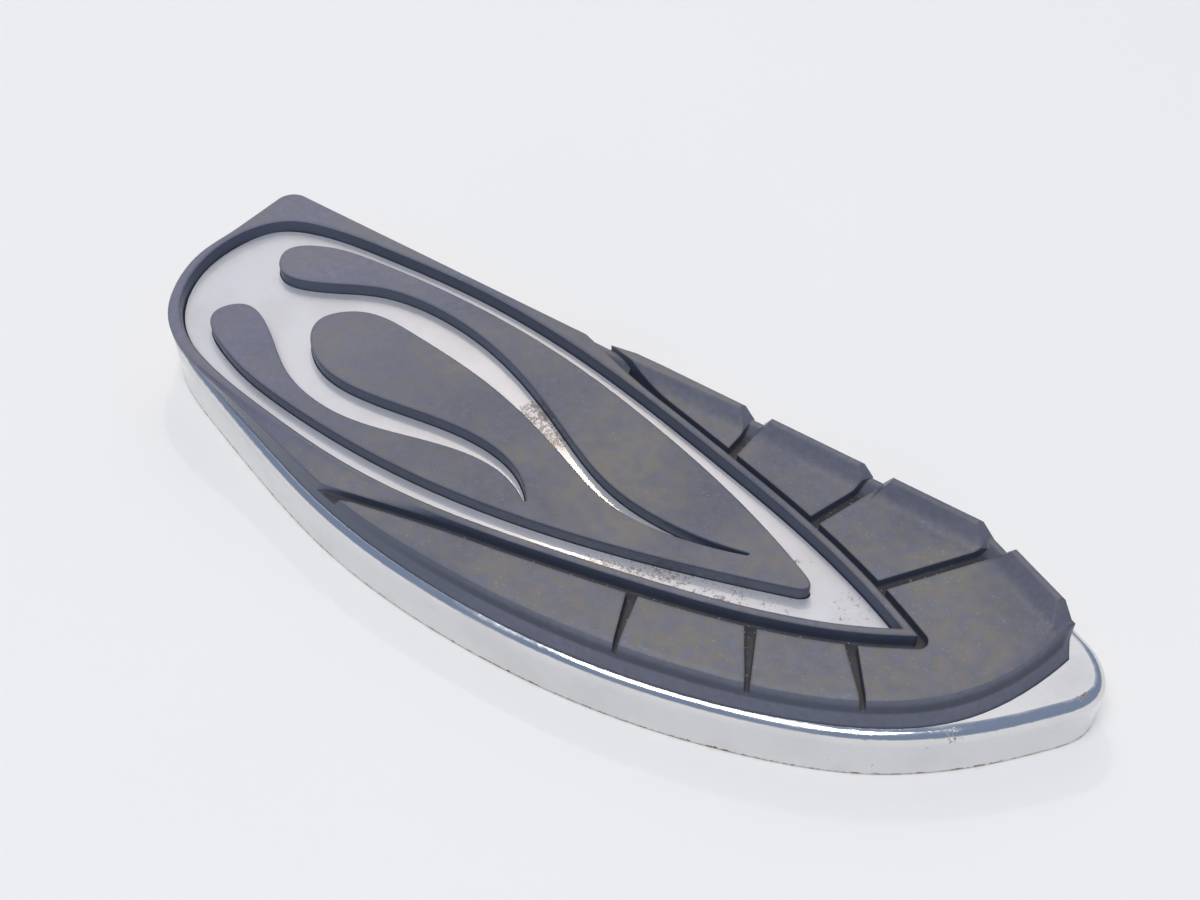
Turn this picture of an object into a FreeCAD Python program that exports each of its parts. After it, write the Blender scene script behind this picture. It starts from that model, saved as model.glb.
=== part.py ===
import FreeCAD
import Part
import math
import os

from FreeCAD import Vector

# Motorcycle floorboard: a chromed pan, a moulded rubber tread and a polished trim plate.
# +X runs to the pointed end, +Y to the motorcycle, +Z up. Sizes are in mm.

# Overall size, and the size of the sheet on which the outline stations are drawn
BOARD_LENGTH = 358.0
BOARD_WIDTH = 120.0
SHEET_LENGTH = 358.0
SHEET_WIDTH = 120.0

# Pan
PAN_DEPTH = 19.5
PAN_SHEET = 2.0
PAN_EDGE_RADIUS = 4.0
PAN_CORNER_RADIUS = 10.0

# Rubber tread, heights above the deck and depths below its own faces
FIELD_HEIGHT = 8.0
RIM_RISE = 2.5
RIM_WIDTH = 3.4
RIM_DRAFT = 0.7
RIM_ROUND = 0.8
GROOVE_DEPTH = 3.6
GROOVE_WIDTH = 3.4
CROSS_WIDTH = 4.0
CUT_WIDTH = 4.2
CUT_TIP = 0.7
CREASE_ROUND = 1.2
LIP_RISE = 5.8
LIP_WIDTH = 2.6
LIP_COVE = 7.4
LIP_ROUND = 0.9
LIP_SINK = 0.15
LIP_STEP = 4.8
LIP_GROWTH = 22.0
LIP_HEEL = 0.7
LIP_LEAD = 3.2
LIP_TAIL = 4.6
PAD_CORNER_RADIUS = 7.0
FLAME_ROUND = 0.7

# Trim plate and its fastenings
SEAT_DEPTH = 6.4
PLATE_THICKNESS = 1.4
PLATE_CLEARANCE = 0.3
STUD_RADIUS = 2.5
STUD_FLANGE_RADIUS = 3.6
STUD_FLANGE_DEPTH = 0.8
STUD_END = 3.0
STUD_CHAMFER = 0.5
HOLE_CLEARANCE = 0.3
WASHER_RADIUS = 5.5
WASHER_THICKNESS = 1.0
NUT_FLATS = 8.0
NUT_HEIGHT = 4.0
THREAD_CLEARANCE = 0.05

# Rubber plugs that hold the tread to the deck
PLUG_RADIUS = 4.0
PLUG_HEAD_RADIUS = 5.2
PLUG_HEAD_HEIGHT = 3.0
PLUG_CLEARANCE = 0.1

# Hinge brackets
BRACKET_GAP = 16.0
BRACKET_SHEET = 3.0
BRACKET_DEPTH = 26.0
EAR_RADIUS = 7.0
PIVOT_RADIUS = 4.9
PIVOT_HEIGHT = 7.8
NOTCH_SIDE = 3.0
NOTCH_HEIGHT = 14.5

# Levels
DECK = PAN_DEPTH
FIELD = DECK + FIELD_HEIGHT
RIM = FIELD + RIM_RISE
GROOVE = FIELD - GROOVE_DEPTH
SEAT = RIM - SEAT_DEPTH
LIP = FIELD + LIP_RISE
UNDERSIDE = DECK - PAN_SHEET
SKY = LIP + 20.0

# Outline stations on the sheet: x from near the round end to the tip, y from the tread's inner edge
INNER_EDGE = 0.0
PAN_INNER_EDGE = 3.0
REAR_CORNER = (-14.7, 0.0)
SLANT_START = (289.0, 0.0)
SLANT_END = (324.5, -16.4)
PAN_SLANT_START = (296.0, 3.0)
PAN_SLANT_END = (329.6, -12.6)

PAN_NEAR = [
    (341.0, -28.0), (336.5, -39.0), (319.0, -60.5), (298.0, -79.0), (259.0, -98.5),
    (218.0, -110.5), (158.0, -117.0), (100.0, -112.3), (60.0, -102.0), (20.0, -89.5),
    (0.0, -80.0), (-11.5, -65.0), (-16.6, -46.0), (-17.0, -28.0),
]

# Tread side where it sits on the deck, and at the level of its field
FOOT_NEAR = [
    (327.5, -23.5), (324.0, -36.0), (310.0, -63.0), (280.0, -86.0), (240.0, -102.0),
    (200.0, -111.0), (150.0, -114.2), (100.0, -109.2), (60.0, -99.0), (20.0, -87.2),
    (0.0, -77.0), (-10.5, -62.0), (-14.3, -46.0), (-14.7, -27.0),
]
CREASE_NEAR = [
    (321.0, -21.5), (318.5, -34.0), (305.0, -59.5), (280.0, -80.0), (240.0, -96.0),
    (200.0, -105.0), (150.0, -109.6), (100.0, -107.0), (60.0, -98.4), (36.0, -94.0), (16.0, -89.2),
    (0.0, -79.6), (-10.4, -65.0), (-15.6, -46.0), (-14.9, -29.0),
]

# Crest of the rim from the rear edge to where its shoulder ends
CREST_REAR = [
    (-14.9, -29.0), (-15.8, -46.0), (-10.6, -65.0), (-0.3, -79.5), (16.0, -89.2), (36.0, -93.4),
    (60.0, -96.6),
]

# Trim plate, from its tail along the inner side, round the head and back
PLATE_OUTLINE = [
    (281.5, -50.0), (240.0, -33.6), (200.0, -22.8), (160.0, -13.4), (120.0, -6.7), (80.0, -4.3),
    (40.0, -6.4), (10.0, -10.9), (-5.0, -19.0), (-11.0, -34.0), (-11.0, -50.0), (-5.0, -65.5),
    (5.0, -77.0), (18.0, -84.2), (60.0, -93.0), (100.0, -96.0), (140.0, -93.2), (180.0, -85.3),
    (220.0, -75.4), (255.0, -63.8), (281.5, -50.0),
]

# Flame block, three curves between its tail and the tips of its two slots
FLAME_TOP = [
    (249.5, -49.2), (220.0, -36.6), (180.0, -24.4), (130.0, -14.2), (80.0, -11.2), (40.0, -13.7),
    (19.0, -19.0), (10.0, -28.5), (16.0, -37.8), (30.0, -36.4), (52.0, -24.6), (80.0, -20.5),
    (115.0, -26.8), (150.0, -41.8), (180.0, -54.3), (205.0, -56.4), (230.5, -52.2),
]
FLAME_MIDDLE = [
    (230.5, -53.2), (210.0, -59.5), (186.0, -61.2), (160.0, -53.2), (120.0, -40.8), (78.0, -35.7),
    (55.0, -38.9), (47.0, -50.0), (57.0, -64.0), (82.0, -68.6), (125.0, -62.3), (144.0, -64.2),
    (160.8, -75.4),
]
FLAME_BOTTOM = [
    (159.8, -75.8), (140.0, -69.8), (116.0, -74.0), (86.0, -81.2), (56.0, -76.4), (32.0, -62.3),
    (18.0, -60.2), (13.0, -68.0), (28.0, -80.2), (60.0, -87.1), (100.0, -88.9), (150.0, -84.4),
    (200.0, -72.6), (250.0, -55.6),
]

# Where the groove leaves the rim, seen on the plate's outline
NEAR_RUNOUT = (155.0, -90.6)
FAR_RUNOUT = (168.0, -15.2)
NOSE = (112.0, -95.8)
NEAR_EXIT = (101.0, -107.0)
FAR_EXIT = (130.0, 0.0)
FIRST_LIP = 130.0

# Grooves across the tread: start at the rim's groove, end past the tread's edge
CROSS_GROOVES = [
    ((202.4, -22.0), (202.9, 6.0)), ((238.8, -30.0), (250.5, 6.0)), ((267.5, -41.0), (300.0, 6.0)),
]
OUTER_CUTS = [
    ((208.5, -83.0), (218.0, -110.0)), ((244.0, -72.0), (259.5, -100.0)), ((271.0, -60.0), (292.5, -86.0)),
]

# Fastening places
STUDS = [(17.0, -50.0), (75.0, -28.4), (75.0, -74.6), (263.5, -51.5)]
PLUGS = [(0.0, -14.0), (30.0, -80.0), (150.0, -100.0), (185.0, -45.0), (270.0, -80.0), (308.0, -34.0)]
BRACKETS = {"hinge_bracket_rear": 118.0, "hinge_bracket_front": 250.0}
PIVOT_LINE = -18.0


def place(station, z=0.0):
    x = station[0] * BOARD_LENGTH / SHEET_LENGTH
    y = station[1] * BOARD_WIDTH / SHEET_WIDTH
    return Vector(x, y, z)


def smooth(points, start=None, end=None):
    curve = Part.BSplineCurve()
    if start is None:
        curve.interpolate(points)
    else:
        first = Vector(start).normalize()
        last = Vector(end).normalize()
        curve.interpolate(Points=points, InitialTangent=first, FinalTangent=last, Scale=False)
    return curve


def line(start, end):
    return Part.LineSegment(start, end).toShape()


def closed(edges, z):
    wire = Part.Wire(edges)
    wire.translate(Vector(0.0, 0.0, z))
    return wire


def prism(wire, low, high):
    face = Part.Face(wire)
    face.translate(Vector(0.0, 0.0, low))
    return face.extrude(Vector(0.0, 0.0, high - low))


def loft(*wires):
    return Part.makeLoft(list(wires), True, True)


def layer(low, high):
    # Slab that reaches past every side of the board
    reach = 2.0 * (BOARD_LENGTH + BOARD_WIDTH)
    return Part.makeBox(reach, reach, high - low, Vector(-reach / 2.0, -reach / 2.0, low))


def cylinder(station, radius, low, high):
    return Part.makeCylinder(radius, high - low, place(station, low))


def outward(curve, value):
    along = curve.tangent(value)[0]
    return Vector(along.y, -along.x, 0.0)


def beside(curve, value, distance):
    return curve.value(value) + outward(curve, value) * distance


def offset_curve(curve, first, last, distance, count=12):
    points = []
    for index in range(count + 1):
        value = first + (last - first) * index / count
        points.append(beside(curve, value, distance))
    return smooth(points, curve.tangent(first)[0], curve.tangent(last)[0])


def offset_piece(curve, first, last, distance, count=12):
    return offset_curve(curve, first, last, distance, count).toShape()


def meeting(start, along, other, heading):
    # Where two straight lines in plan cross
    spread = along.x * heading.y - along.y * heading.x
    gap = other - start
    reach = (gap.x * heading.y - gap.y * heading.x) / spread
    return start + along * reach


def edges_at(shape, level):
    found = []
    for edge in shape.Edges:
        box = edge.BoundBox
        if abs(box.ZMin - level) < 0.01 and abs(box.ZMax - level) < 0.01:
            found.append(edge)
    return found


def corner_arc(corner, radius):
    # Rounded corner at the board's rear inner corner, from the inner edge to the rear edge
    start = corner + Vector(radius, 0.0, 0.0)
    end = corner + Vector(0.0, -radius, 0.0)
    inset = radius * (1.0 - math.sqrt(0.5))
    return Part.Arc(start, corner + Vector(inset, -inset, 0.0), end).toShape()


class Lines:
    """Plan curves that several pieces share."""

    plate = smooth([place(station) for station in PLATE_OUTLINE])
    first = plate.FirstParameter
    last = plate.LastParameter
    near_run = plate.parameter(place(NEAR_RUNOUT))
    far_run = plate.parameter(place(FAR_RUNOUT))
    nose = plate.parameter(place(NOSE))
    crease = smooth([place(station) for station in reversed(CREASE_NEAR)])
    foot = smooth([place(station) for station in reversed(FOOT_NEAR)])
    brow = offset_curve(crease, crease.FirstParameter, crease.LastParameter, -CREASE_ROUND, 30)
    exit_value = crease.parameter(place(NEAR_EXIT))
    near_exit = crease.value(exit_value)
    near_blend = smooth([near_exit, beside(plate, near_run, RIM_WIDTH)],
                        beside(plate, near_run, RIM_WIDTH) - near_exit, plate.tangent(near_run)[0])
    crest = smooth([place(station) for station in CREST_REAR] + [beside(plate, nose, RIM_WIDTH)],
                   Vector(0.0, -1.0, 0.0), plate.tangent(nose)[0])
    far_blend = smooth([beside(plate, far_run, RIM_WIDTH), place(FAR_EXIT)],
                       plate.tangent(far_run)[0], place(FAR_EXIT) - beside(plate, far_run, RIM_WIDTH))


def tail_point(distance):
    # Sharp tail of a line that runs at one distance round the plate
    arriving = beside(Lines.plate, Lines.last, distance)
    leaving = beside(Lines.plate, Lines.first, distance)
    return meeting(arriving, Lines.plate.tangent(Lines.last)[0],
                   leaving, Lines.plate.tangent(Lines.first)[0])


def tail_edges(distance):
    tail = tail_point(distance)
    edges = [line(beside(Lines.plate, Lines.last, distance), tail)]
    edges.append(line(tail, beside(Lines.plate, Lines.first, distance)))
    return edges


def ring(distance, z):
    edges = [offset_piece(Lines.plate, Lines.first, Lines.last, distance, 40)]
    return closed(edges + tail_edges(distance), z)


def pan_outline(inset):
    # Outside of the pan in plan, or a line at one distance inside it
    radius = PAN_CORNER_RADIUS
    stations = [place(station) for station in reversed(PAN_NEAR)]
    near = smooth(stations, Vector(0.0, -1.0, 0.0), Vector(0.0, 1.0, 0.0))
    slant = (place(PAN_SLANT_START) - place(PAN_SLANT_END)).normalize()
    across = Vector(-1.0, 0.0, 0.0)
    turn_out = place(PAN_SLANT_START) - slant * radius
    turn_in = place(PAN_SLANT_START) + across * radius
    tip = smooth([stations[-1], place(PAN_SLANT_END)], Vector(0.0, 1.0, 0.0), slant)
    bow = smooth([turn_out, turn_in], slant, across)
    pieces = []
    for curve in [near, tip, bow]:
        pieces.append(offset_curve(curve, curve.FirstParameter, curve.LastParameter, -inset, 24))
    start, end, back = [(piece.value(piece.FirstParameter), piece.value(piece.LastParameter))
                        for piece in pieces]
    corner = Vector(start[0].x, back[1].y, 0.0)
    bend = radius - inset
    edges = [pieces[0].toShape(), pieces[1].toShape(), line(end[1], back[0]), pieces[2].toShape()]
    edges.append(line(back[1], corner + Vector(bend, 0.0, 0.0)))
    edges.append(corner_arc(corner, bend))
    edges.append(line(corner + Vector(0.0, -bend, 0.0), start[0]))
    return Part.Wire(edges)


def bracket_notch(station):
    # Gap in the inner skirt for the arm that comes in from the motorcycle
    middle = place((station, PAN_INNER_EDGE))
    width = BRACKET_GAP + 2.0 * NOTCH_SIDE
    corner = Vector(middle.x - width / 2.0, middle.y - 3.0 * PAN_SHEET, -1.0)
    return Part.makeBox(width, 6.0 * PAN_SHEET, NOTCH_HEIGHT + 1.0, corner)


def base_pan():
    shell = prism(pan_outline(0.0), 0.0, DECK)
    shell = shell.makeFillet(PAN_EDGE_RADIUS, edges_at(shell, DECK))
    hollow = prism(pan_outline(PAN_SHEET), -1.0, UNDERSIDE)
    hollow = hollow.makeFillet(PAN_EDGE_RADIUS - PAN_SHEET, edges_at(hollow, UNDERSIDE))
    cuts = [hollow]
    for station in STUDS:
        cuts.append(cylinder(station, STUD_RADIUS + HOLE_CLEARANCE, 0.0, SKY))
    for station in PLUGS:
        cuts.append(cylinder(station, PLUG_RADIUS + PLUG_CLEARANCE, 0.0, SKY))
    for station in BRACKETS.values():
        cuts.append(bracket_notch(station))
    return shell.cut(cuts)


def tread_outline(near, z):
    rear = near.value(near.FirstParameter)
    front = near.value(near.LastParameter)
    corner = place(REAR_CORNER)
    start = place(SLANT_START)
    end = place(SLANT_END)
    edges = [corner_arc(corner, PAD_CORNER_RADIUS)]
    edges.append(line(corner + Vector(0.0, -PAD_CORNER_RADIUS, 0.0), rear))
    edges.append(near.toShape())
    edges.append(line(front, end))
    edges.append(line(end, start))
    edges.append(line(start, corner + Vector(PAD_CORNER_RADIUS, 0.0, 0.0)))
    return closed(edges, z)


def tread_block(brow):
    # Body of the tread up to its field, whose outer edge is the given line
    level = FIELD - 0.8 * CREASE_ROUND
    share = (level - DECK) / FIELD_HEIGHT
    waist = []
    for index in range(31):
        low = Lines.foot.value(Lines.foot.LastParameter * index / 30)
        high = Lines.crease.value(Lines.crease.LastParameter * index / 30)
        waist.append(low * (1.0 - share) + high * share)
    bottom = tread_outline(Lines.foot, DECK)
    return loft(bottom, tread_outline(smooth(waist), level), tread_outline(brow, FIELD))


def middle_foot():
    # Edge of the raised middle at the level of the field
    plate = Lines.plate
    corner = place(REAR_CORNER)
    turn = corner + Vector(0.0, -PAD_CORNER_RADIUS, 0.0)
    crease = Lines.crease
    edges = [line(place(FAR_EXIT), corner + Vector(PAD_CORNER_RADIUS, 0.0, 0.0))]
    edges.append(corner_arc(corner, PAD_CORNER_RADIUS))
    edges.append(line(turn, crease.value(crease.FirstParameter)))
    edges.append(crease.toShape(crease.FirstParameter, Lines.exit_value))
    edges.append(Lines.near_blend.toShape())
    edges.append(offset_piece(plate, Lines.near_run, Lines.last, RIM_WIDTH))
    edges.extend(tail_edges(RIM_WIDTH))
    edges.append(offset_piece(plate, Lines.first, Lines.far_run, RIM_WIDTH))
    edges.append(Lines.far_blend.toShape())
    return closed(edges, FIELD)


def middle_crest(inset, z):
    # Crest of the raised middle, or a line at one distance inside it
    plate = Lines.plate
    reach = RIM_WIDTH - inset
    radius = PAD_CORNER_RADIUS - inset
    corner = place(REAR_CORNER) + Vector(inset, -inset, 0.0)
    crest = Lines.crest
    exit_point = beside(Lines.far_blend, Lines.far_blend.LastParameter, -inset)
    start = beside(crest, crest.FirstParameter, -inset)
    edges = [line(exit_point, corner + Vector(radius, 0.0, 0.0)), corner_arc(corner, radius)]
    edges.append(line(corner + Vector(0.0, -radius, 0.0), start))
    edges.append(offset_piece(crest, crest.FirstParameter, crest.LastParameter, -inset, 24))
    edges.append(offset_piece(plate, Lines.nose, Lines.near_run, reach))
    edges.append(offset_piece(plate, Lines.near_run, Lines.last, reach))
    edges.extend(tail_edges(reach))
    edges.append(offset_piece(plate, Lines.first, Lines.far_run, reach))
    blend = Lines.far_blend
    edges.append(offset_piece(blend, blend.FirstParameter, blend.LastParameter, -inset))
    return closed(edges, z)


def groove_tail(width):
    # Turn of the groove round the rim's tail: sharp on its inner side, round on its outer side
    plate = Lines.plate
    reach = RIM_WIDTH + width
    tail = tail_point(RIM_WIDTH)
    arriving = tail + outward(plate, Lines.last) * width
    leaving = tail + outward(plate, Lines.first) * width
    edges = [line(beside(plate, Lines.last, reach), arriving)]
    if width > 0.0:
        crown = tail + (outward(plate, Lines.last) + outward(plate, Lines.first)).normalize() * width
        edges.append(Part.Arc(arriving, crown, leaving).toShape())
    edges.append(line(leaving, beside(plate, Lines.first, reach)))
    return edges


def within_groove(width):
    # All that one side of the groove goes round, open towards the round end
    plate = Lines.plate
    run = 30.0
    near = Lines.near_blend
    far = Lines.far_blend
    near_start = beside(near, near.FirstParameter, width)
    near_out = near_start - near.tangent(near.FirstParameter)[0] * run
    far_end = beside(far, far.LastParameter, width)
    far_out = far_end + far.tangent(far.LastParameter)[0] * run
    edges = [line(near_out, near_start)]
    edges.append(offset_piece(near, near.FirstParameter, near.LastParameter, width))
    edges.append(offset_piece(plate, Lines.near_run, Lines.last, RIM_WIDTH + width))
    edges.extend(groove_tail(width))
    edges.append(offset_piece(plate, Lines.first, Lines.far_run, RIM_WIDTH + width))
    edges.append(offset_piece(far, far.FirstParameter, far.LastParameter, width))
    edges.append(line(far_end, far_out))
    far_left = Vector(-BOARD_LENGTH, far_out.y, 0.0)
    near_left = Vector(-BOARD_LENGTH, near_out.y, 0.0)
    edges.append(line(far_out, far_left))
    edges.append(line(far_left, near_left))
    edges.append(line(near_left, near_out))
    return prism(Part.Wire(edges), GROOVE, SKY)


def strip(start, end, first_width, last_width):
    # Straight cut through the tread above the groove's floor, with its own width at each end
    along = (end - start).normalize()
    side = Vector(-along.y, along.x, 0.0)
    points = [start + side * first_width / 2.0, start - side * first_width / 2.0]
    points.append(end - side * last_width / 2.0)
    points.append(end + side * last_width / 2.0)
    points.append(points[0])
    return prism(Part.makePolygon(points), GROOVE, SKY)


def lip_profile(start, inward, drop):
    # Section of a lug's raised edge: a rounded crest with a hollow run-in from the field
    crest = LIP - drop
    field = FIELD - drop
    foot = field - 2.0
    turn = LIP_WIDTH + LIP_COVE

    def at(across, z):
        return start + inward * across + Vector(0.0, 0.0, z)

    brow = at(LIP_WIDTH, crest)
    run_in = at(turn, field - LIP_SINK)
    edges = [line(at(0.0, foot), at(0.0, crest - LIP_ROUND))]
    edges.append(line(at(0.0, crest - LIP_ROUND), at(LIP_ROUND, crest)))
    edges.append(line(at(LIP_ROUND, crest), brow))
    edges.append(smooth([brow, run_in], inward * 0.7 - Vector(0.0, 0.0, 0.7), inward).toShape())
    edges.append(line(run_in, at(turn, foot)))
    edges.append(line(at(turn, foot), at(0.0, foot)))
    return Part.Face(Part.Wire(edges))


def sideways(heading):
    return Vector(heading.y, -heading.x, 0.0)


def lip(start, heading, heights):
    # One lug's raised edge, limited along its length by a list of distances and heights
    inward = sideways(heading)
    points = [start + heading * distance + Vector(0.0, 0.0, z) for distance, z in heights]
    gate = Part.Face(Part.makePolygon(points + points[:1]))
    gate.translate(inward * -1.0)
    reach = heights[-1][0] - heights[0][0]
    bar = lip_profile(start + heading * heights[0][0], inward, 0.0).extrude(heading * reach)
    return bar.common(gate.extrude(inward * (LIP_WIDTH + LIP_COVE + 2.0)))


def lip_heights(length, lead, tail):
    # Both ends lean back from the grooves beside them, and run on a little below the field
    low = FIELD - 1.5
    more = (LIP_HEEL + 1.5) / (LIP_RISE - LIP_HEEL)
    return [(-lead * more, low), (lead, LIP), (length - tail, LIP), (length + tail * more, low)]


def crossing(groove, corner, heading):
    # Point of the tread's edge at which a cross groove leaves it
    start = place(groove[0])
    along = (place(groove[1]) - start).normalize()
    gap = start - corner
    reach = (gap.x * along.y - gap.y * along.x) / (heading.x * along.y - heading.y * along.x)
    return corner + heading * reach


def crossings():
    corner = place(SLANT_START)
    edge = Vector(1.0, 0.0, 0.0)
    slant = (place(SLANT_END) - corner).normalize()
    headings = [edge, edge, slant]
    pairs = zip(CROSS_GROOVES, headings)
    return [(crossing(groove, corner, heading), heading) for groove, heading in pairs]


def lips():
    half = CROSS_WIDTH / 2.0
    (first, edge), (second, _), (third, slant) = crossings()
    root = place((FIRST_LIP, INNER_EDGE))
    reach = (first - root).Length - half
    grown = [(0.0, FIELD - 1.5), (1.0, FIELD + LIP_HEEL), (LIP_GROWTH, LIP - 1.2), (reach - LIP_TAIL, LIP)]
    made = [lip(root, edge, grown + lip_heights(reach, LIP_LEAD, LIP_TAIL)[-1:])]
    length = (second - first).Length - CROSS_WIDTH
    made.append(lip(first + edge * half, edge, lip_heights(length, LIP_LEAD, LIP_TAIL)))
    length = (place(SLANT_START) - second).Length - half
    made.append(lip(second + edge * half, edge, lip_heights(length, LIP_LEAD, LIP_TAIL)))
    length = (place(SLANT_END) - third).Length - half - LIP_TAIL / 2.0
    made.append(lip(third + slant * half, slant, lip_heights(length, LIP_LEAD, LIP_TAIL)))
    return made


def ridge(start, heading, length):
    bar = lip_profile(start, sideways(heading), LIP_STEP).extrude(heading * length)
    return bar.common(layer(GROOVE - 0.5, SKY))


def groove_ridges():
    # The floor of each groove runs up to a low edge beside the lips
    reach = CROSS_WIDTH / 2.0 + LIP_WIDTH + LIP_ROUND
    made = [ridge(point - heading * reach, heading, 2.0 * reach) for point, heading in crossings()]
    lead = place((FIRST_LIP - LIP_COVE, INNER_EDGE))
    made.append(ridge(lead, Vector(1.0, 0.0, 0.0), LIP_COVE + LIP_GROWTH))
    return made


def field_lugs(block):
    lugs = block.common(layer(GROOVE, SKY)).fuse(lips())
    cuts = [within_groove(GROOVE_WIDTH)]
    for start, end in CROSS_GROOVES:
        cuts.append(strip(place(start), place(end), CROSS_WIDTH, CROSS_WIDTH))
    for start, end in OUTER_CUTS:
        cuts.append(strip(place(start), place(end), CUT_WIDTH, CUT_TIP))
    return lugs.cut(cuts)


def flame_outline(distance):
    # Outside of the flame block in plan, or a line at one distance outside it
    curves = []
    for stations in [FLAME_TOP, FLAME_MIDDLE, FLAME_BOTTOM]:
        curve = smooth([place(station) for station in stations])
        if distance > 0.0:
            curve = offset_curve(curve, curve.FirstParameter, curve.LastParameter, distance, 48)
        curves.append(curve)
    edges = []
    for index, curve in enumerate(curves):
        follower = curves[(index + 1) % 3]
        end = curve.value(curve.LastParameter)
        start = follower.value(follower.FirstParameter)
        heading = curve.tangent(curve.LastParameter)[0] - follower.tangent(follower.FirstParameter)[0]
        crown = (start + end) / 2.0 + heading.normalize() * (start - end).Length / 2.0
        edges.append(curve.toShape())
        edges.append(smooth([end, crown, start], curve.tangent(curve.LastParameter)[0],
                            follower.tangent(follower.FirstParameter)[0]).toShape())
    return Part.Wire(edges)


def flame_block():
    block = prism(flame_outline(0.0), SEAT - 1.0, RIM)
    return block.makeFillet(FLAME_ROUND, edges_at(block, RIM))


def plug(station):
    stem = cylinder(station, PLUG_RADIUS, UNDERSIDE - PLUG_HEAD_HEIGHT, DECK + 1.0)
    head = Part.makeCone(PLUG_RADIUS, PLUG_HEAD_RADIUS, PLUG_HEAD_HEIGHT,
                         place(station, UNDERSIDE - PLUG_HEAD_HEIGHT))
    return stem.fuse(head)


def rubber_pad():
    block = tread_block(Lines.crease)
    core = block.common(within_groove(0.0))
    brim = RIM - 0.7 * RIM_ROUND
    crown = loft(middle_foot(), middle_crest(0.0, brim), middle_crest(RIM_ROUND, RIM))
    mouth = PLATE_CLEARANCE + RIM_DRAFT
    recess = loft(ring(PLATE_CLEARANCE, SEAT), ring(mouth, brim), ring(mouth + RIM_ROUND, RIM))
    slab = block.common(layer(0.0, GROOVE))
    middle = slab.fuse([core, crown]).cut(recess)
    raised = [field_lugs(tread_block(Lines.brow)), flame_block()]
    plugs = [plug(station) for station in PLUGS]
    pad = middle.fuse(raised + groove_ridges() + plugs)
    cuts = []
    for station in STUDS:
        cuts.append(cylinder(station, STUD_RADIUS + HOLE_CLEARANCE, 0.0, SEAT))
        flange = STUD_FLANGE_RADIUS + HOLE_CLEARANCE
        cuts.append(cylinder(station, flange, SEAT - 1.5 * STUD_FLANGE_DEPTH, SEAT))
    return pad.cut(cuts)


def trim_plate():
    plate = prism(Part.Wire([Lines.plate.toShape()]), SEAT, SEAT + PLATE_THICKNESS)
    opening = prism(flame_outline(PLATE_CLEARANCE), SEAT - 1.0, SKY)
    return plate.cut(opening)


def stud(station):
    shank = cylinder(station, STUD_RADIUS, STUD_END, SEAT)
    shank = shank.makeChamfer(STUD_CHAMFER, edges_at(shank, STUD_END))
    return shank.fuse(cylinder(station, STUD_FLANGE_RADIUS, SEAT - STUD_FLANGE_DEPTH, SEAT))


def washer(station):
    low = UNDERSIDE - WASHER_THICKNESS
    disc = cylinder(station, WASHER_RADIUS, low, UNDERSIDE)
    return disc.cut(cylinder(station, STUD_RADIUS + HOLE_CLEARANCE, low, UNDERSIDE))


def nut(station):
    high = UNDERSIDE - WASHER_THICKNESS
    low = high - NUT_HEIGHT
    reach = NUT_FLATS / math.sqrt(3.0)
    points = []
    for index in range(7):
        angle = math.radians(60.0 * index)
        points.append(place(station) + Vector(reach * math.cos(angle), reach * math.sin(angle), 0.0))
    body = prism(Part.makePolygon(points), low, high)
    return body.cut(cylinder(station, STUD_RADIUS + THREAD_CLEARANCE, low, high))


def hinge_bracket(station):
    middle = place((station, PIVOT_LINE))
    width = BRACKET_GAP + 2.0 * BRACKET_SHEET
    high = UNDERSIDE
    half = BRACKET_DEPTH / 2.0
    web = Part.makeBox(width, BRACKET_DEPTH, BRACKET_SHEET,
                       middle + Vector(-width / 2.0, -half, high - BRACKET_SHEET))
    left = Vector(middle.x - width / 2.0, middle.y, 0.0)
    ear = Part.makeCylinder(EAR_RADIUS, width, left + Vector(0.0, 0.0, PIVOT_HEIGHT), Vector(1.0, 0.0, 0.0))
    points = [left + Vector(0.0, -EAR_RADIUS, PIVOT_HEIGHT), left + Vector(0.0, EAR_RADIUS, PIVOT_HEIGHT)]
    points.append(left + Vector(0.0, half, high - BRACKET_SHEET))
    points.append(left + Vector(0.0, -half, high - BRACKET_SHEET))
    points.append(points[0])
    cheeks = Part.Face(Part.makePolygon(points)).extrude(Vector(width, 0.0, 0.0))
    gap = Part.makeBox(BRACKET_GAP, 2.0 * BRACKET_DEPTH, high - BRACKET_SHEET + 1.0,
                       middle + Vector(-BRACKET_GAP / 2.0, -BRACKET_DEPTH, -1.0))
    bore = Part.makeCylinder(PIVOT_RADIUS, width + 2.0, left + Vector(-1.0, 0.0, PIVOT_HEIGHT),
                             Vector(1.0, 0.0, 0.0))
    return web.fuse([ear, cheeks]).cut([gap, bore])


def group(make):
    return Part.makeCompound([make(station) for station in STUDS])


def build():
    nodes = {"base_pan": base_pan(), "rubber_pad": rubber_pad(), "trim_plate": trim_plate()}
    nodes["trim_studs"] = group(stud)
    nodes["stud_washers"] = group(washer)
    nodes["stud_nuts"] = group(nut)
    for name, station in BRACKETS.items():
        nodes[name] = hinge_bracket(station)
    box = nodes["base_pan"].optimalBoundingBox()
    shift = Vector(-(box.XMin + box.XMax) / 2.0, -(box.YMin + box.YMax) / 2.0, 0.0)
    os.makedirs("parts", exist_ok=True)
    for name, shape in nodes.items():
        shape.translate(shift)
        shape.exportStep(os.path.join("parts", name + ".step"))
        print(name, shape.isValid(), len(shape.Solids), round(shape.Volume, 1), shape.optimalBoundingBox())
    print("shift", shift)


build()
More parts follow.
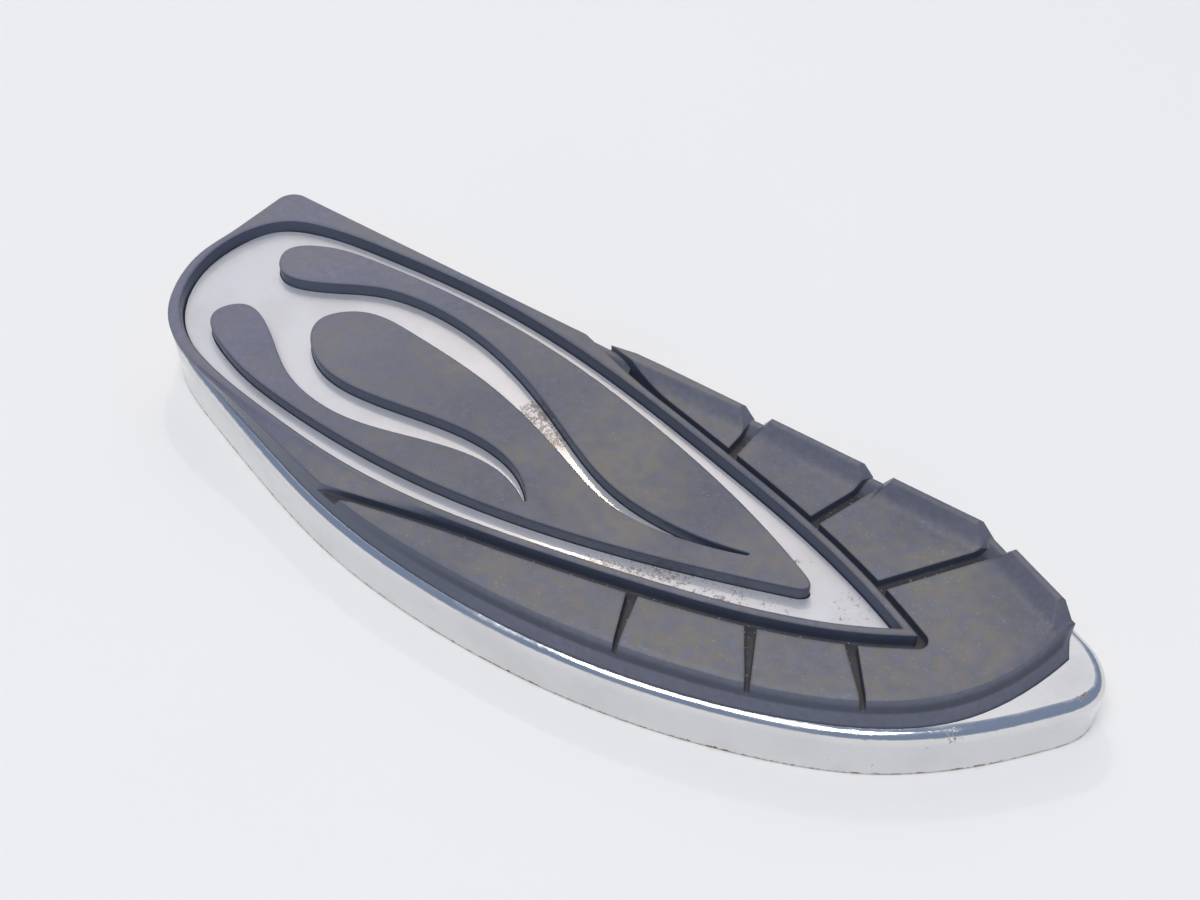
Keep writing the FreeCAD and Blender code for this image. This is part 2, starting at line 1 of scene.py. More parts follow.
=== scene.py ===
import bmesh
import bpy
import math
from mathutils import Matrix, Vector


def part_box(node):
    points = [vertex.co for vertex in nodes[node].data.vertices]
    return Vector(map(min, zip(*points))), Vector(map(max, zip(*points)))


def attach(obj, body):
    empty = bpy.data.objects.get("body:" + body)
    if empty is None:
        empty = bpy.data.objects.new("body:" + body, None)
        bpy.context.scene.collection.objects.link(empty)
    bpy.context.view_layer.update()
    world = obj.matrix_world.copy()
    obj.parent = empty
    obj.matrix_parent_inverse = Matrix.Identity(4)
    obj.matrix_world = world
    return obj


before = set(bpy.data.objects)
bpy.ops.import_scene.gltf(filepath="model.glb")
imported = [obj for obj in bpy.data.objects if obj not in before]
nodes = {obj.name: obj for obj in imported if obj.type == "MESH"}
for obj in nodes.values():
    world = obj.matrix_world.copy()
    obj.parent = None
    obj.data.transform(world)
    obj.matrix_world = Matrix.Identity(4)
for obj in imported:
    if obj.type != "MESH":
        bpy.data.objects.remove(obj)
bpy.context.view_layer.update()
print("frame loaded:", sorted(nodes))


# helpers for node trees

def addNode(tree, kind, wires=None, **settings):  # wires hold a value or a socket for each input
    made = tree.nodes.new(kind)
    for name, value in settings.items():
        setattr(made, name, value)
    for socket, value in (wires or {}).items():
        if isinstance(value, bpy.types.NodeSocket):
            tree.links.new(value, made.inputs[socket])
        else:
            made.inputs[socket].default_value = value
    return made


def maths(tree, operation, first, second, clamp=False):
    wires = {0: first, 1: second}
    return addNode(tree, "ShaderNodeMath", wires, operation=operation, use_clamp=clamp).outputs[0]


def scaled(tree, value, amount):
    return maths(tree, "MULTIPLY", value, amount)


def plus(tree, base, value, amount):  # base + value * amount
    return maths(tree, "ADD", base, scaled(tree, value, amount))


def minus(tree, base, value, amount):  # base - value * amount
    return maths(tree, "SUBTRACT", base, scaled(tree, value, amount))


def fade(tree, value, low, high, start=0.0, end=1.0):  # smooth step from start to end
    wires = {"Value": value, "From Min": low, "From Max": high, "To Min": start, "To Max": end}
    return addNode(tree, "ShaderNodeMapRange", wires, interpolation_type="SMOOTHSTEP").outputs["Result"]


def mixColour(tree, share, low, high):
    return addNode(tree, "ShaderNodeMix", {0: share, 6: low, 7: high}, data_type="RGBA").outputs[2]


def noise(tree, place, scale, detail, rough):
    wires = {"Vector": place, "Scale": scale, "Detail": detail, "Roughness": rough}
    return addNode(tree, "ShaderNodeTexNoise", wires).outputs[0]


def patches(tree, place, pattern, limits):  # noise of one scale, detail and roughness, cut at two limits
    return fade(tree, noise(tree, place, *pattern), *limits)


def objectPlace(tree):
    return addNode(tree, "ShaderNodeTexCoord").outputs["Object"]


def turnedUp(tree):  # 1 where a face looks straight up, -1 where it looks down
    normal = addNode(tree, "ShaderNodeNewGeometry").outputs["Normal"]
    return addNode(tree, "ShaderNodeSeparateXYZ", {0: normal}).outputs["Z"]


def nearSpot(tree, place, spot, reach):  # 1 around the spot, 0 beyond its reach
    gap = addNode(tree, "ShaderNodeVectorMath", {0: place, 1: spot}, operation="DISTANCE").outputs["Value"]
    core = 0.35  # share of the reach that stays full
    return fade(tree, gap, reach * core, reach, 1.0, 0.0)


def spotSpread(tree, place, base, spots):  # the strongest of the base and the spots
    spread = base
    for spot, reach, strength in spots:
        near = scaled(tree, nearSpot(tree, place, spot, reach), strength)
        spread = maths(tree, "MAXIMUM", spread, near)
    return spread


def newGroup(name, inputs, outputs):
    group = bpy.data.node_groups.new(name, "ShaderNodeTree")
    for label, value in inputs.items():
        group.interface.new_socket(label, in_out="INPUT", socket_type="NodeSocketFloat").default_value = value
    for label, kind in outputs.items():
        group.interface.new_socket(label, in_out="OUTPUT", socket_type=kind)
    return group, group.nodes.new("NodeGroupInput"), group.nodes.new("NodeGroupOutput")


def useGroup(tree, group, **values):
    return addNode(tree, "ShaderNodeGroup", values, node_tree=group)


def newMaterial(name):
    made = bpy.data.materials.new(name)
    made.use_nodes = True
    tree = made.node_tree
    tree.nodes.clear()
    shader = tree.nodes.new("ShaderNodeBsdfPrincipled")
    out = tree.nodes.new("ShaderNodeOutputMaterial")
    tree.links.new(shader.outputs[0], out.inputs["Surface"])
    return made, tree, shader


def feed(tree, shader, wires):
    for socket, value in wires.items():
        tree.links.new(value, shader.inputs[socket])


def bumpOn(tree, shader, height, bump, normal=None):  # bump holds a strength and a depth
    wires = {"Strength": bump[0], "Distance": bump[1], "Height": height}
    if normal is not None:
        wires["Normal"] = normal
    feed(tree, shader, {"Normal": addNode(tree, "ShaderNodeBump", wires).outputs[0]})


def softEdges(tree, radius):
    return addNode(tree, "ShaderNodeBevel", {"Radius": radius}, samples=6).outputs[0]


def dress(name, material):
    part = nodes[name]
    part.data.materials.clear()
    part.data.materials.append(material)


# shared effects

veilForm = {
    "patch": (5.0, 0.62),          # detail and roughness of the noise
    "level": 0.86,                 # less the cover, this is where a patch begins
    "below": 0.2,                  # softness of a patch's edge
    "above": 0.16,
    "upward": (0.45, 0.97),
    "speck": (2.0, 0.6),
    "speckLimits": (0.64, 0.72),
}


def makeDustVeil(form):  # patchy road dust that lies on faces turned up, with loose specks
    group, enter, leave = newGroup("dustVeil", {"Patch": 30.0, "Speck": 900.0, "Cover": 0.5},
                                   {"Mask": "NodeSocketFloat", "Specks": "NodeSocketFloat"})
    place = objectPlace(group)
    broad = noise(group, place, enter.outputs["Patch"], *form["patch"])
    level = maths(group, "SUBTRACT", form["level"], enter.outputs["Cover"])
    low = maths(group, "SUBTRACT", level, form["below"])
    high = maths(group, "ADD", level, form["above"])
    upward = fade(group, turnedUp(group), *form["upward"])
    grit = noise(group, place, enter.outputs["Speck"], *form["speck"])
    specks = fade(group, grit, *form["speckLimits"])
    laid = fade(group, broad, low, high)
    group.links.new(maths(group, "MULTIPLY", laid, upward), leave.inputs["Mask"])
    group.links.new(maths(group, "MULTIPLY", specks, upward), leave.inputs["Specks"])
    return group


bloomForm = {
    "coarseScale": 0.28,           # of the size given
    "coarse": (4.0, 0.7),          # detail and roughness of the noise
    "fine": (3.0, 0.65),
    "coarseShare": 0.55,
    "fineShare": 0.45,
    "limit": 0.78,                 # where rust begins with no spread
    "spreadShare": 0.36,
    "edge": 0.07,
    "tintLimits": (0.35, 0.65),
    "darkRust": (0.060, 0.032, 0.018, 1),
    "paleRust": (0.27, 0.165, 0.085, 1),
}


def makeRustBloom(form):  # brown pits that break out where Spread is high
    group, enter, leave = newGroup("rustBloom", {"Size": 700.0, "Spread": 0.0},
                                   {"Mask": "NodeSocketFloat", "Tint": "NodeSocketColor"})
    place = objectPlace(group)
    size = enter.outputs["Size"]
    coarse = noise(group, place, scaled(group, size, form["coarseScale"]), *form["coarse"])
    fine = noise(group, place, size, *form["fine"])
    both = plus(group, scaled(group, coarse, form["coarseShare"]), fine, form["fineShare"])
    limit = minus(group, form["limit"], enter.outputs["Spread"], form["spreadShare"])
    mask = fade(group, both, limit, maths(group, "ADD", limit, form["edge"]))
    tint = mixColour(group, fade(group, fine, *form["tintLimits"]), form["darkRust"], form["paleRust"])
    group.links.new(mask, leave.inputs["Mask"])
    group.links.new(tint, leave.inputs["Tint"])
    return group


grainForm = {
    "noise": (2.0, 0.5),           # detail and roughness, for the skin and the swell
    "skinShare": 0.4,
    "swellScale": 0.06,            # of the scale given
}


def makeFineGrain(form):  # moulded skin or cast surface
    group, enter, leave = newGroup("fineGrain", {"Scale": 1500.0}, {"Height": "NodeSocketFloat"})
    place = objectPlace(group)
    scale = enter.outputs["Scale"]
    skin = noise(group, place, scale, *form["noise"])
    swell = noise(group, place, scaled(group, scale, form["swellScale"]), *form["noise"])
    height = maths(group, "ADD", scaled(group, skin, form["skinShare"]), swell)
    group.links.new(height, leave.inputs["Height"])
    return group


scratchForm = {
    "upright": 300.0,              # scale of the lines up a wall
    "noise": (1.0, 3.0, 0.6),
}


def makeHairScratch(form):  # long fine lines left by polishing and boots
    group, enter, leave = newGroup("hairScratch", {"Across": 2600.0, "Along": 60.0, "Turn": 0.0},
                                   {"Lines": "NodeSocketFloat"})
    wires = {"Vector": objectPlace(group), "Angle": enter.outputs["Turn"]}
    turned = addNode(group, "ShaderNodeVectorRotate", wires, rotation_type="Z_AXIS").outputs[0]
    wires = {0: enter.outputs["Along"], 1: enter.outputs["Across"], 2: form["upright"]}
    stretch = addNode(group, "ShaderNodeCombineXYZ", wires).outputs[0]
    place = addNode(group, "ShaderNodeVectorMath", {0: turned, 1: stretch}, operation="MULTIPLY").outputs[0]
    group.links.new(noise(group, place, *form["noise"]), leave.inputs["Lines"])
    return group


dustVeil = makeDustVeil(veilForm)
rustBloom = makeRustBloom(bloomForm)
fineGrain = makeFineGrain(grainForm)
hairScratch = makeHairScratch(scratchForm)
print("shared effects ready")


# tread rubber; a pattern is the noise's scale, detail and roughness, then its limits

rubberLook = {
    "dark": (0.110, 0.116, 0.154, 1),
    "worn": (0.154, 0.157, 0.196, 1),
    "deep": (0.060, 0.062, 0.075, 1),
    # painted sheen, pale and blue, laid over the round end
    "paintedSheen": (0.205, 0.205, 0.275, 1),
    # walls: clean rubber, darkened as painted shade and tinted as a painted blue sky reflection
    "wallAndShade": (0.066, 0.078, 0.116, 1),
    "dust": (0.225, 0.195, 0.140, 1),
    "grit": (0.46, 0.42, 0.32, 1),
    "groove": (0.012, 0.012, 0.014, 1),
    "wear": ((14.0, 4.0, 0.6), (0.36, 0.66)),
    "mottle": ((420.0, 5.0, 0.65), (0.34, 0.66, 0.0, 0.35)),
    "paintedSheenRun": (-0.16, 0.0, 0.45, 0.0),      # painted sheen: x at the round end and the middle, share at each
    "fineDust": {"Patch": 210.0, "Speck": 1000.0, "Cover": 0.36},
    "smears": {"Patch": 26.0, "Speck": 700.0, "Cover": 0.34},
    "leastDust": 0.12,
    "dusty": [                                # place and reach
        ((0.148, 0.007, 0.0275), 0.016), ((0.132, -0.017, 0.0275), 0.013), ((0.02, 0.004, 0.030), 0.030),
        ((-0.062, 0.020, 0.030), 0.024), ((0.074, -0.040, 0.0275), 0.020), ((0.118, 0.036, 0.0275), 0.016),
    ],
    "dustyStrength": 0.7,
    "dustShare": 0.55,
    "speckShare": 0.26,
    "grooveFoot": (0.0228, 0.0236),           # heights where the painted groove shade fades in, below a groove's floor
    "grooveTop": (0.0242, 0.0262, 1.0, 0.0),  # and out, above it
    "grooveShare": 0.75,
    "grooveGrit": 0.5,
    "topFaces": (0.25, 0.85),                 # how far up a wall and a top look
    "rough": 0.24,
    "topRough": 0.22,
    "dustRough": 0.16,
    "wearRough": 0.06,
    "edgeRadius": 0.0014,
    "grainScale": 1500.0,
    "bump": (0.35, 0.00012),
}


def makeTreadRubber(look):
    made, tree, shader = newMaterial("treadRubber")
    place = objectPlace(tree)
    split = addNode(tree, "ShaderNodeSeparateXYZ", {0: place})
    dust = useGroup(tree, dustVeil, **look["fineDust"])
    smear = useGroup(tree, dustVeil, **look["smears"])
    wear = patches(tree, place, *look["wear"])
    colour = mixColour(tree, wear, look["dark"], look["worn"])
    colour = mixColour(tree, patches(tree, place, *look["mottle"]), colour, look["deep"])
    paintedSheen = fade(tree, split.outputs["X"], *look["paintedSheenRun"])  # painted sheen: paler and bluer towards the round end, with less dust there
    colour = mixColour(tree, paintedSheen, colour, look["paintedSheen"])
    trodden = maths(tree, "ADD", look["leastDust"], smear.outputs["Mask"])
    trodden = maths(tree, "SUBTRACT", trodden, paintedSheen, True)
    for spot, reach in look["dusty"]:
        trodden = plus(tree, trodden, nearSpot(tree, place, spot, reach), look["dustyStrength"])
    laid = maths(tree, "MULTIPLY", dust.outputs["Mask"], trodden, True)
    colour = mixColour(tree, scaled(tree, laid, look["dustShare"]), colour, look["dust"])
    colour = mixColour(tree, scaled(tree, dust.outputs["Specks"], look["speckShare"]), colour, look["grit"])
    # painted shade: faces low in the grooves turn near black; the pale grit laid there is real
    aboveFoot = fade(tree, split.outputs["Z"], *look["grooveFoot"])
    belowTop = fade(tree, split.outputs["Z"], *look["grooveTop"])
    low = maths(tree, "MULTIPLY", belowTop, aboveFoot)
    colour = mixColour(tree, scaled(tree, low, look["grooveShare"]), colour, look["groove"])
    grit = maths(tree, "MULTIPLY", low, smear.outputs["Specks"])
    colour = mixColour(tree, scaled(tree, grit, look["grooveGrit"]), colour, look["grit"])
    top = fade(tree, turnedUp(tree), *look["topFaces"])
    # walls take their own darker, bluer colour: clean rubber without the tops' dust and wear, with painted
    # shade and a painted blue sky reflection
    colour = mixColour(tree, top, look["wallAndShade"], colour)
    rough = plus(tree, look["rough"], top, look["topRough"])
    rough = plus(tree, rough, dust.outputs["Mask"], look["dustRough"])
    rough = plus(tree, rough, wear, look["wearRough"])
    feed(tree, shader, {"Base Color": colour, "Roughness": rough})
    grain = useGroup(tree, fineGrain, Scale=look["grainScale"])
    bumpOn(tree, shader, grain.outputs["Height"], look["bump"], softEdges(tree, look["edgeRadius"]))
    return made


dress("rubber_pad", makeTreadRubber(rubberLook))
print("tread rubber dressed")


# polished trim plate

plateLook = {
    "steel": (0.64, 0.645, 0.68, 1),
    "dull": (0.50, 0.49, 0.49, 1),
    "haze": ((40.0, 4.0, 0.6), (0.38, 0.66)),
    "hazeShare": 0.35,
    "lines": {"Across": 2400.0, "Along": 45.0, "Turn": 0.25},
    "rustSize": 1900.0,
    "leastRust": 0.05,
    "pitted": [                               # x, y, reach and strength, on the plate's top
        (-0.0255, 0.0185, 0.011, 0.92), (-0.0145, 0.0125, 0.014, 0.90),
        (0.034, -0.0195, 0.018, 0.74), (0.050, -0.0145, 0.020, 0.78),
        (0.068, -0.0095, 0.018, 0.74), (0.084, -0.002, 0.015, 0.64),
        (0.0825, 0.0155, 0.006, 0.66), (0.104, 0.0075, 0.013, 0.66),
    ],
    "rustShare": 0.72,
    "metal": 0.55,
    "pitMetal": 0.5,
    "coat": 0.8,
    "coatRough": 0.13,
    "rough": 0.40,
    "lineRough": 0.10,
    "rustRough": 0.45,
    "lineHeight": 0.12,
    "bump": (0.06, 0.00006),
}


def makeTrimSteel(look):
    made, tree, shader = newMaterial("trimSteel")
    place = objectPlace(tree)
    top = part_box("trim_plate")[1].z
    spots = [((x, y, top), reach, strength) for x, y, reach, strength in look["pitted"]]
    spread = spotSpread(tree, place, look["leastRust"], spots)
    rust = useGroup(tree, rustBloom, Size=look["rustSize"], Spread=spread)
    lines = useGroup(tree, hairScratch, **look["lines"]).outputs["Lines"]
    haze = patches(tree, place, *look["haze"])
    colour = mixColour(tree, scaled(tree, haze, look["hazeShare"]), look["steel"], look["dull"])
    pits = scaled(tree, rust.outputs["Mask"], look["rustShare"])
    colour = mixColour(tree, pits, colour, rust.outputs["Tint"])
    metallic = minus(tree, look["metal"], pits, look["pitMetal"])
    rough = plus(tree, look["rough"], lines, look["lineRough"])
    rough = plus(tree, rough, rust.outputs["Mask"], look["rustRough"])
    feed(tree, shader, {"Base Color": colour, "Metallic": metallic, "Roughness": rough})
    shader.inputs["Coat Weight"].default_value = look["coat"]
    shader.inputs["Coat Roughness"].default_value = look["coatRough"]
    height = maths(tree, "SUBTRACT", scaled(tree, lines, look["lineHeight"]), rust.outputs["Mask"])
    bumpOn(tree, shader, height, look["bump"])
    return made


dress("trim_plate", makeTrimSteel(plateLook))
print("trim plate dressed")


# chromed pan

panLook = {
    "chrome": (0.74, 0.735, 0.74, 1),
    "hazed": (0.58, 0.575, 0.58, 1),
    "cornerDark": (0.075, 0.050, 0.032, 1),
    "inside": (0.30, 0.295, 0.285, 1),
    "stain": (0.115, 0.085, 0.060, 1),
    "haze": ((45.0, 4.0, 0.6), (0.40, 0.68)),
    "hazeShare": 0.30,
    "lines": {"Across": 1800.0, "Along": 50.0, "Turn": 0.0},
    "rustSize": 1100.0,
    "rustLine": (0.0, 0.0022, 0.9, 0.0),      # heights at the skirt's foot, strength at each
    "marks": [                                # place, reach and strength
        ((0.1506, -0.0116, 0.0193), 0.007, 0.80), ((0.1746, 0.0237, 0.0193), 0.004, 0.72),
        ((0.152, -0.018, 0.0175), 0.022, 0.50), ((0.128, -0.030, 0.010), 0.020, 0.46),
    ],
    "seamReach": 0.0045,
    "seam": (0.25, 0.62, 1.0, 0.0),
    "seamShare": 0.85,
    "seamCover": 0.8,
    "below": (-0.75, -0.15, 1.0, 0.0),        # how far down the inside looks
    "insideShare": 0.8,
    "splash": ((38.0, 6.0, 0.68), (0.46, 0.66)),
    "stainShare": 0.6,
    "coverMetal": 0.85,
    "rough": 0.07,
    "lineRough": 0.08,
    "hazeRough": 0.12,
    "coverRough": 0.45,
    "insideRough": 0.28,
    "bump": (0.3, 0.0001),
}


def makePanChrome(look):
    made, tree, shader = newMaterial("panChrome")
    place = objectPlace(tree)
    height = addNode(tree, "ShaderNodeSeparateXYZ", {0: place}).outputs["Z"]
    foot = fade(tree, height, *look["rustLine"])
    spread = spotSpread(tree, place, foot, look["marks"])
    rust = useGroup(tree, rustBloom, Size=look["rustSize"], Spread=spread)
    lines = useGroup(tree, hairScratch, **look["lines"]).outputs["Lines"]
    haze = patches(tree, place, *look["haze"])
    # darker, browner and duller close to corners, such as where the rubber meets the pan
    wires = {"Distance": look["seamReach"]}
    corner = addNode(tree, "ShaderNodeAmbientOcclusion", wires, samples=8).outputs["AO"]
    seam = fade(tree, corner, *look["seam"])
    below = fade(tree, turnedUp(tree), *look["below"])
    splash = maths(tree, "MULTIPLY", below, patches(tree, place, *look["splash"]))
    colour = mixColour(tree, scaled(tree, haze, look["hazeShare"]), look["chrome"], look["hazed"])
    colour = mixColour(tree, scaled(tree, below, look["insideShare"]), colour, look["inside"])
    colour = mixColour(tree, scaled(tree, splash, look["stainShare"]), colour, look["stain"])
    colour = mixColour(tree, scaled(tree, seam, look["seamShare"]), colour, look["cornerDark"])
    colour = mixColour(tree, rust.outputs["Mask"], colour, rust.outputs["Tint"])
    cover = maths(tree, "MAXIMUM", rust.outputs["Mask"], scaled(tree, seam, look["seamCover"]))
    metallic = minus(tree, 1.0, cover, look["coverMetal"])
    rough = plus(tree, look["rough"], lines, look["lineRough"])
    rough = plus(tree, rough, haze, look["hazeRough"])
    rough = plus(tree, rough, cover, look["coverRough"])
    rough = plus(tree, rough, below, look["insideRough"])
    feed(tree, shader, {"Base Color": colour, "Metallic": metallic, "Roughness": rough})
    bumpOn(tree, shader, maths(tree, "SUBTRACT", 1.0, rust.outputs["Mask"]), look["bump"])
    return made


dress("base_pan", makePanChrome(panLook))
print("pan dressed")


# zinc plated fasteners

zincLook = {
    "zinc": (0.46, 0.46, 0.45, 1),
    "dull": (0.26, 0.255, 0.245, 1),
    "bloom": ((320.0, 4.0, 0.65), (0.38, 0.64)),
    "rust": {"Size": 1500.0, "Spread": 0.42},
    "rustMetal": 0.8,
    "rough": 0.3,
    "bloomRough": 0.22,
    "grainScale": 2600.0,
    "bump": (0.3, 0.00006),
}


def makeFastenerZinc(look):
    made, tree, shader = newMaterial("fastenerZinc")
    bloom = patches(tree, objectPlace(tree), *look["bloom"])
    rust = useGroup(tree, rustBloom, **look["rust"])
    colour = mixColour(tree, bloom, look["zinc"], look["dull"])
    colour = mixColour(tree, rust.outputs["Mask"], colour, rust.outputs["Tint"])
    metallic = minus(tree, 1.0, rust.outputs["Mask"], look["rustMetal"])
    rough = plus(tree, look["rough"], bloom, look["bloomRough"])
    feed(tree, shader, {"Base Color": colour, "Metallic": metallic, "Roughness": rough})
    grain = useGroup(tree, fineGrain, Scale=look["grainScale"])
    bumpOn(tree, shader, grain.outputs["Height"], look["bump"])
    return made


zincFinish = makeFastenerZinc(zincLook)
for name in ("trim_studs", "stud_washers", "stud_nuts"):
    dress(name, zincFinish)
print("fasteners dressed")


# painted brackets

paintLook = {
    "paint": (0.020, 0.020, 0.022, 1),
    "chalky": (0.055, 0.054, 0.053, 1),
    "dust": (0.17, 0.14, 0.10, 1),
    "chalk": ((70.0, 4.0, 0.6), (0.40, 0.70)),
    "veil": {"Patch": 60.0, "Speck": 1300.0, "Cover": 0.45},
    "dustShare": 0.4,
    "rust": {"Size": 600.0, "Spread": 0.40},
    "rough": 0.34,
    "chalkRough": 0.25,
    "edgeRadius": 0.0004,
    "grainScale": 900.0,
    "bump": (0.35, 0.0001),
}


def makeBracketPaint(look):
    made, tree, shader = newMaterial("bracketPaint")
    chalk = patches(tree, objectPlace(tree), *look["chalk"])
    rust = useGroup(tree, rustBloom, **look["rust"])
    dust = useGroup(tree, dustVeil, **look["veil"])
    colour = mixColour(tree, chalk, look["paint"], look["chalky"])
    colour = mixColour(tree, scaled(tree, dust.outputs["Mask"], look["dustShare"]), colour, look["dust"])
    colour = mixColour(tree, rust.outputs["Mask"], colour, rust.outputs["Tint"])
    rough = plus(tree, look["rough"], chalk, look["chalkRough"])
    feed(tree, shader, {"Base Color": colour, "Roughness": rough})
    grain = useGroup(tree, fineGrain, Scale=look["grainScale"])
    bumpOn(tree, shader, grain.outputs["Height"], look["bump"], softEdges(tree, look["edgeRadius"]))
    return made


paintFinish = makeBracketPaint(paintLook)
for name in ("hinge_bracket_front", "hinge_bracket_rear"):
    dress(name, paintFinish)
print("brackets dressed")


# pieces made here

def tubeFaces(first, rings, sides):  # skin and end caps of a row of closed rings
    faces = []
    for ring in range(rings - 1):
        for side in range(sides):
            near, far = first + ring * sides, first + (ring + 1) * sides
            following = (side + 1) % sides
            faces.append((near + side, near + following, far + following, far + side))
    last = first + (rings - 1) * sides
    faces.append(tuple(range(first, first + sides)))
    faces.append(tuple(range(last, last + sides)))
    return faces


def addPiece(name, points, faces, material):
    mesh = bpy.data.meshes.new(name)
    mesh.from_pydata(points, [], faces)
    shape = bmesh.new()
    shape.from_mesh(mesh)
    bmesh.ops.recalc_face_normals(shape, faces=shape.faces)
    shape.to_mesh(mesh)
    shape.free()
    mesh.materials.append(material)
    piece = bpy.data.objects.new(name, mesh)
    bpy.context.scene.collection.objects.link(piece)
    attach(piece, "root")
    return piece


def looseMiddles(part):  # middle of each loose solid of a node, in plan
    shape = bmesh.new()
    shape.from_mesh(part.data)
    bmesh.ops.remove_doubles(shape, verts=shape.verts, dist=0.00001)
    waiting = set(shape.verts)
    middles = []
    while waiting:
        found, queue = [], [waiting.pop()]
        while queue:
            corner = queue.pop()
            found.append(part.matrix_world @ corner.co)
            fresh = {link.other_vert(corner) for link in corner.link_edges} & waiting
            waiting -= fresh
            queue += fresh
        middles.append([(min(p[axis] for p in found) + max(p[axis] for p in found)) / 2 for axis in (0, 1)])
    shape.free()
    return sorted(middles)


# screw threads on the stud ends

threadLook = {
    "endGap": 0.0006,              # from the stud's end to the middle of the first turn
    "nutGap": 0.0003,              # from the middle of the last turn to the nut
    "pitch": 0.0008,
    "profile": [                   # radius and lift
        (0.00243, -0.0003), (0.00272, -0.00006), (0.00272, 0.00006), (0.00243, 0.0003),
    ],
    "steps": 32,                   # in one turn
}


def makeThreads(look):
    points, faces = [], []
    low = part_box("trim_studs")[0].z + look["endGap"]
    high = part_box("stud_nuts")[0].z - look["nutGap"]
    rings = round((high - low) / look["pitch"] * look["steps"])
    for x, y in looseMiddles(nodes["trim_studs"]):
        faces += tubeFaces(len(points), rings, len(look["profile"]))
        for ring in range(rings):
            angle = 2 * math.pi * ring / look["steps"]
            height = low + look["pitch"] * ring / look["steps"]
            for radius, lift in look["profile"]:
                points.append((x + radius * math.cos(angle), y + radius * math.sin(angle), height + lift))
    addPiece("stud_threads", points, faces, zincFinish)


makeThreads(threadLook)
print("threads added")


# weld beads beside the brackets

weldLook = {
    "outward": 0.0004,             # bead's middle beyond the bracket's side
    "endGap": 0.0018,              # left bare at each end of a side
    "sink": 0.0004,                # bead's middle below the deck
    "radius": 0.0016,
    "width": 0.8,                  # of the radius, sideways
    "endSize": 0.3,                # of the radius, at a bead's ends
    "endGrowth": 6.0,              # how fast an end swells to the full radius
    "ripple": 0.0017,              # from one ripple to the next
    "rippleHeight": 0.11,          # of the radius
    "bow": 0.0006,                 # how far a ripple bows back
    "rings": 130,
    "sides": 14,
}


def beadRadius(look, share, along):  # share runs from 0 to 1 over the bead
    nearEnd = min(share, 1 - share)
    swell = min(1.0, look["endSize"] + look["endGrowth"] * nearEnd)
    wave = math.sin(2 * math.pi * along / look["ripple"])
    return look["radius"] * swell * (1 + look["rippleHeight"] * wave)


def makeWelds(look):
    points, faces = [], []
    for name in ("hinge_bracket_rear", "hinge_bracket_front"):
        low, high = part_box(name)
        middle = (low + high) / 2
        reach = (high.x - low.x) / 2 + look["outward"]
        half = (high.y - low.y) / 2 - look["endGap"]
        height = high.z - look["sink"]
        for side in (-1, 1):
            faces += tubeFaces(len(points), look["rings"], look["sides"])
            for ring in range(look["rings"]):
                share = ring / (look["rings"] - 1)
                along = half * (2 * share - 1)
                radius = beadRadius(look, share, along)
                for step in range(look["sides"]):
                    angle = 2 * math.pi * step / look["sides"]
                    outward = reach + look["width"] * radius * math.cos(angle)
                    trail = look["bow"] * math.cos(angle)
                    points.append((middle.x + side * outward, middle.y + along - trail,
                                   height + radius * math.sin(angle)))
    piece = addPiece("bracket_welds", points, faces, paintFinish)
    piece.data.shade_smooth()


makeWelds(weldLook)
print("welds added")


# floor

floorLook = {
    "pale": (0.868, 0.852, 0.815, 1),
    "paler": (0.882, 0.866, 0.829, 1),
    "pattern": (9.0, 3.0, 0.5),
    "rough": 0.9,
    "half": 6.0,                   # half of a side
    "drop": 0.0003,                # below the skirt's foot
}


def makeFloor(look):
    half = look["half"]
    corners = [(-half, -half, 0), (half, -half, 0), (half, half, 0), (-half, half, 0)]
    mesh = bpy.data.meshes.new("floorSheet")
    mesh.from_pydata(corners, [], [(0, 1, 2, 3)])
    floor = bpy.data.objects.new("floorSheet", mesh)
    floor.location.z = -look["drop"]
    bpy.context.scene.collection.objects.link(floor)
    made, tree, shader = newMaterial("paleFloor")
    shader.inputs["Roughness"].default_value = look["rough"]
    shade = noise(tree, objectPlace(tree), *look["pattern"])
    feed(tree, shader, {"Base Color": mixColour(tree, shade, look["pale"], look["paler"])})
    mesh.materials.append(made)


makeFloor(floorLook)
print("floor laid")


# sky

skyLook = {
    "shade": (0.23, 0.29, 0.42, 1),           # high up and behind the camera
    "haze": (0.96, 0.965, 1.0, 1),            # around the key lamp
    "rim": (0.94, 0.93, 0.91, 1),             # low down, all round
    "hazeWay": (-0.394, 0.518, 0.759),
    "hazeTurn": (0.76, 0.97),                 # cosines of the angle from that way
    "rimHeight": (0.05, 0.30),
}


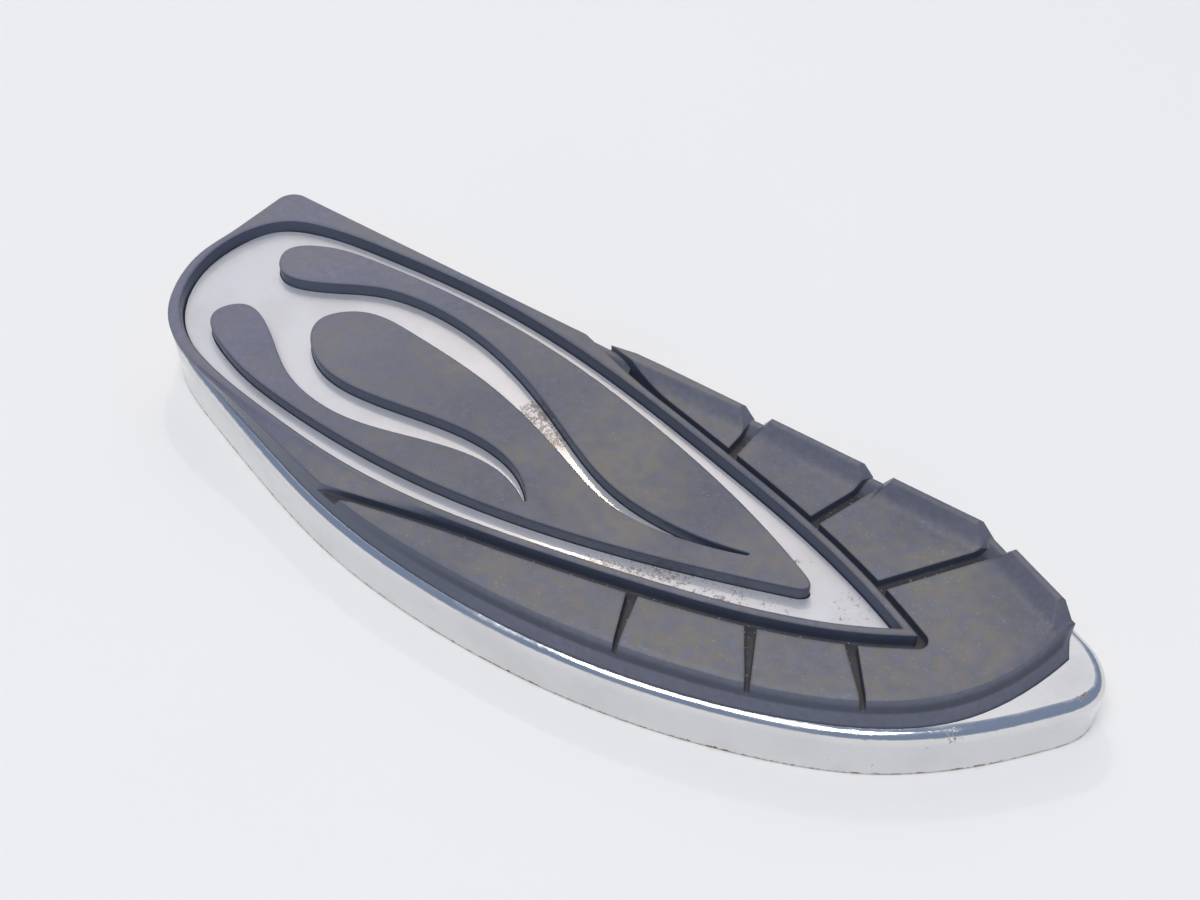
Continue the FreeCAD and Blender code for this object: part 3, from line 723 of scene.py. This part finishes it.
def makeSky(look):
    world = bpy.data.worlds.new("studioSky")
    bpy.context.scene.world = world
    world.use_nodes = True
    tree = world.node_tree
    tree.nodes.clear()
    ray = addNode(tree, "ShaderNodeTexCoord").outputs["Generated"]
    up = addNode(tree, "ShaderNodeSeparateXYZ", {0: ray}).outputs["Z"]
    wires = {0: ray, 1: look["hazeWay"]}
    turn = addNode(tree, "ShaderNodeVectorMath", wires, operation="DOT_PRODUCT").outputs["Value"]
    sky = mixColour(tree, fade(tree, turn, *look["hazeTurn"]), look["shade"], look["haze"])
    sky = mixColour(tree, fade(tree, up, *look["rimHeight"]), look["rim"], sky)
    light = addNode(tree, "ShaderNodeBackground", {"Color": sky, "Strength": 1.0})
    out = addNode(tree, "ShaderNodeOutputWorld")
    tree.links.new(light.outputs[0], out.inputs["Surface"])


makeSky(skyLook)
print("sky ready")


# lamps

lampLook = {
    "keyLamp": {
        "place": (-0.62, 0.82, 1.24),
        "size": (0.05, 0.05),
        "power": 2.0,
        "colour": (1.0, 0.80, 0.58),
    },
    "fillLamp": {
        "place": (0.53, -1.81, 5.0),
        "size": (3.6, 2.35),
        "power": 170.0,
        "colour": (1.0, 0.985, 0.965),
    },
}


def softLamp(name, look):  # aimed at the origin
    lamp = bpy.data.lights.new(name, "AREA")
    lamp.shape = "RECTANGLE"
    lamp.size, lamp.size_y = look["size"]
    lamp.energy = look["power"]
    lamp.color = look["colour"]
    held = bpy.data.objects.new(name, lamp)
    held.location = look["place"]
    held.rotation_euler = (-Vector(look["place"])).to_track_quat("-Z", "Y").to_euler()
    bpy.context.scene.collection.objects.link(held)


for name, look in lampLook.items():
    softLamp(name, look)
print("lamps ready")


# camera

cameraLook = {
    "place": (0.20335, -0.26284, 0.39445),
    "way": (-0.397, 0.554, -0.731),
    "lens": 45.0,
    "sensor": 36.0,
    "nearest": 0.01,
}


def makeCamera(look):
    lens = bpy.data.cameras.new("viewCamera")
    lens.sensor_width = look["sensor"]
    lens.lens = look["lens"]
    lens.clip_start = look["nearest"]
    camera = bpy.data.objects.new("viewCamera", lens)
    camera.location = look["place"]
    camera.rotation_euler = Vector(look["way"]).to_track_quat("-Z", "Y").to_euler()
    bpy.context.scene.collection.objects.link(camera)
    bpy.context.scene.camera = camera


makeCamera(cameraLook)
bpy.context.scene.view_settings.view_transform = "Standard"
print("camera ready")
